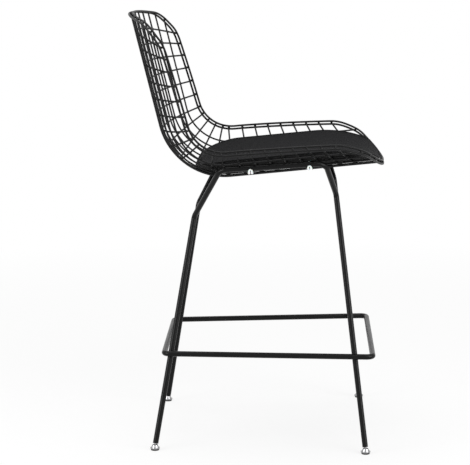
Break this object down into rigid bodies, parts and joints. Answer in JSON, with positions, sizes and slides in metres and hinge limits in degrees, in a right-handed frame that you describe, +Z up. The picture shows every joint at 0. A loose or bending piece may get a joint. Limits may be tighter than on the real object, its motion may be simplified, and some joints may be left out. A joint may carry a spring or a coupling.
{
  "type": "wire bar stool",
  "caption": "Counter-height bar stool with a bent wire bucket seat between twin rim wires, bent-rod legs, a wire footrest ring, a loose seat pad and tilting glides.",
  "frame": {"origin": "on the floor, under the middle of the bounding box", "axes": "+Z up, -Y toward the front of the seat, +X to the right as seen from the front"},
  "size_m": [0.5264, 0.5908, 0.9878],
  "materials": {
    "shell_coat": "black powder coat, satin",
    "frame_coat": "black powder coat, satin",
    "leatherette": "black grained leatherette, matte",
    "chrome": "bright plated",
    "steel": "zinc plated",
    "nylon": "natural nylon",
    "glide_rubber": "black, matte"
  },
  "bodies": {
    "stool_frame": {"long_wire_01": "shell_coat", "long_wire_02": "shell_coat", "long_wire_03": "shell_coat", "long_wire_04": "shell_coat", "long_wire_05": "shell_coat", "long_wire_06": "shell_coat", "long_wire_07": "shell_coat", "long_wire_08": "shell_coat", "long_wire_09": "shell_coat", "long_wire_10": "shell_coat", "long_wire_11": "shell_coat", "long_wire_12": "shell_coat", "long_wire_13": "shell_coat", "long_wire_14": "shell_coat", "cross_wire_01": "shell_coat", "cross_wire_02": "shell_coat", "cross_wire_03": "shell_coat", "cross_wire_04": "shell_coat", "cross_wire_05": "shell_coat", "cross_wire_06": "shell_coat", "cross_wire_07": "shell_coat", "cross_wire_08": "shell_coat", "cross_wire_09": "shell_coat", "cross_wire_10": "shell_coat", "cross_wire_11": "shell_coat", "cross_wire_12": "shell_coat", "cross_wire_13": "shell_coat", "cross_wire_14": "shell_coat", "cross_wire_15": "shell_coat", "cross_wire_16": "shell_coat", "cross_wire_17": "shell_coat", "cross_wire_18": "shell_coat", "cross_wire_19": "shell_coat", "cross_wire_20": "shell_coat", "inner_rim_wire": "shell_coat", "outer_rim_wire": "shell_coat", "side_frame_left": "frame_coat", "side_frame_right": "frame_coat", "footrest_ring": "frame_coat", "glide_stems": "steel", "seat_clips": "nylon", "clip_screws": "steel", "clip_nuts": "steel"},
    "seat_cushion": {"seat_pad": "leatherette"},
    "glide_rear_left": {"glide_cap_rear_left": "chrome", "glide_pad_rear_left": "glide_rubber"},
    "glide_rear_right": {"glide_cap_rear_right": "chrome", "glide_pad_rear_right": "glide_rubber"},
    "glide_front_left": {"glide_cap_front_left": "chrome", "glide_pad_front_left": "glide_rubber"},
    "glide_front_right": {"glide_cap_front_right": "chrome", "glide_pad_front_right": "glide_rubber"}
  },
  "joints": [
    {"name": "seat_pad_lift", "type": "slide", "parent": "stool_frame", "child": "seat_cushion", "axis": [0, 0.0889, 0.996], "range_m": [0, 0.15]},
    {"name": "glide_tilt_rear_left", "type": "hinge", "parent": "stool_frame", "child": "glide_rear_left", "pos_m": [-0.219, 0.2347, 0.00885], "axis": [0.5935, 0.8048, 0], "range_deg": [-8, 8]},
    {"name": "glide_tilt_rear_right", "type": "hinge", "parent": "stool_frame", "child": "glide_rear_right", "pos_m": [0.219, 0.2347, 0.00885], "axis": [0.5935, -0.8048, 0], "range_deg": [-8, 8]},
    {"name": "glide_tilt_front_left", "type": "hinge", "parent": "stool_frame", "child": "glide_front_left", "pos_m": [-0.251, -0.245, 0.00885], "axis": [-0.4356, 0.9001, 0], "range_deg": [-8, 8]},
    {"name": "glide_tilt_front_right", "type": "hinge", "parent": "stool_frame", "child": "glide_front_right", "pos_m": [0.251, -0.245, 0.00885], "axis": [-0.4356, -0.9001, 0], "range_deg": [-8, 8]}
  ]
}
